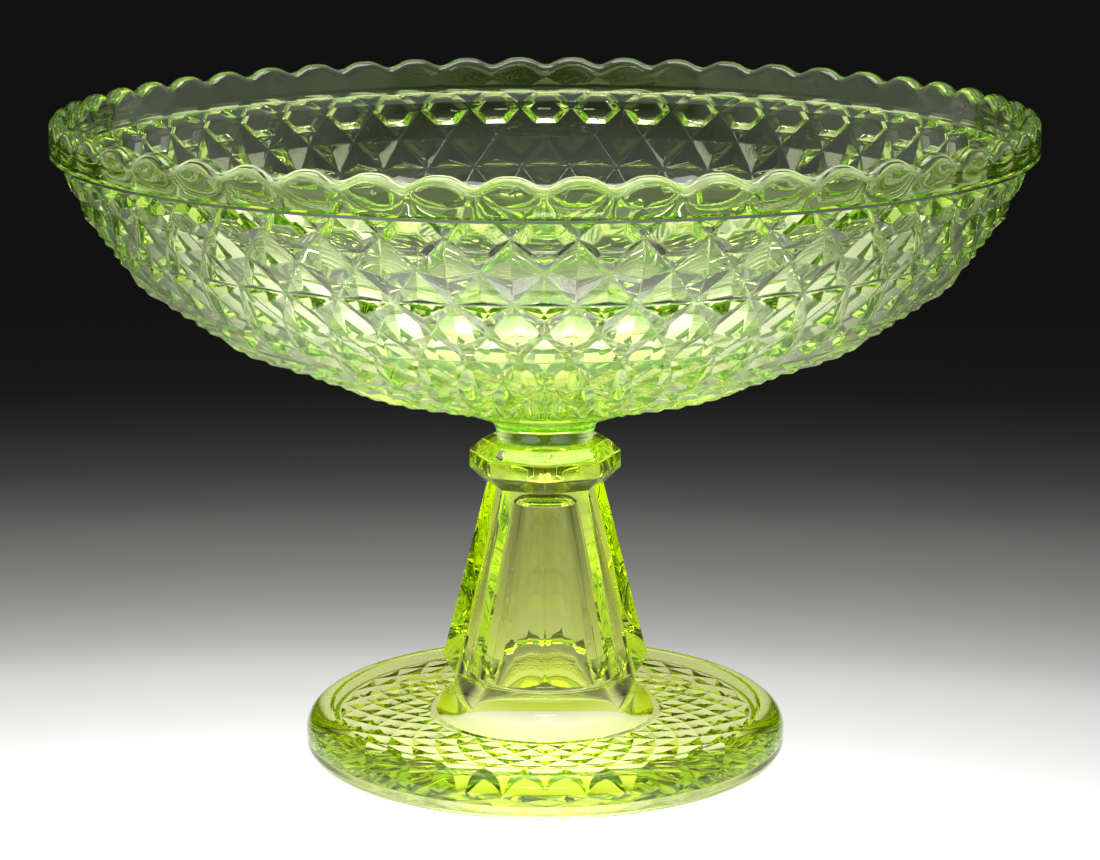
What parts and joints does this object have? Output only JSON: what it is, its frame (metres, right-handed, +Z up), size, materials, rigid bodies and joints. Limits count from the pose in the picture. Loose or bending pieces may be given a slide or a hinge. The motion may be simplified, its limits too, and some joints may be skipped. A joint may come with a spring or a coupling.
{
  "type": "footed glass dish",
  "caption": "Wide round footed glass bowl with a diamond-cut outside and scalloped rim, on an eight-sided collar, hollow panelled stem and round foot.",
  "frame": {"origin": "centre of the foot's underside, on the axis, at the height of the surface the dish stands on", "axes": "+Z up along the dish's axis; the middle of a hexagon of the cut pattern, and a corner of the stem, face -Y"},
  "size_m": [0.24, 0.24, 0.1625],
  "materials": {
    "bowl_glass": "clear yellow-green pressed glass, fire polished",
    "stand_glass": "clear saturated yellow-green pressed glass, fire polished"
  },
  "bodies": {
    "root": {"bowl": "bowl_glass", "neck": "bowl_glass", "collar": "stand_glass", "stem": "stand_glass", "foot": "stand_glass"}
  },
  "joints": []
}
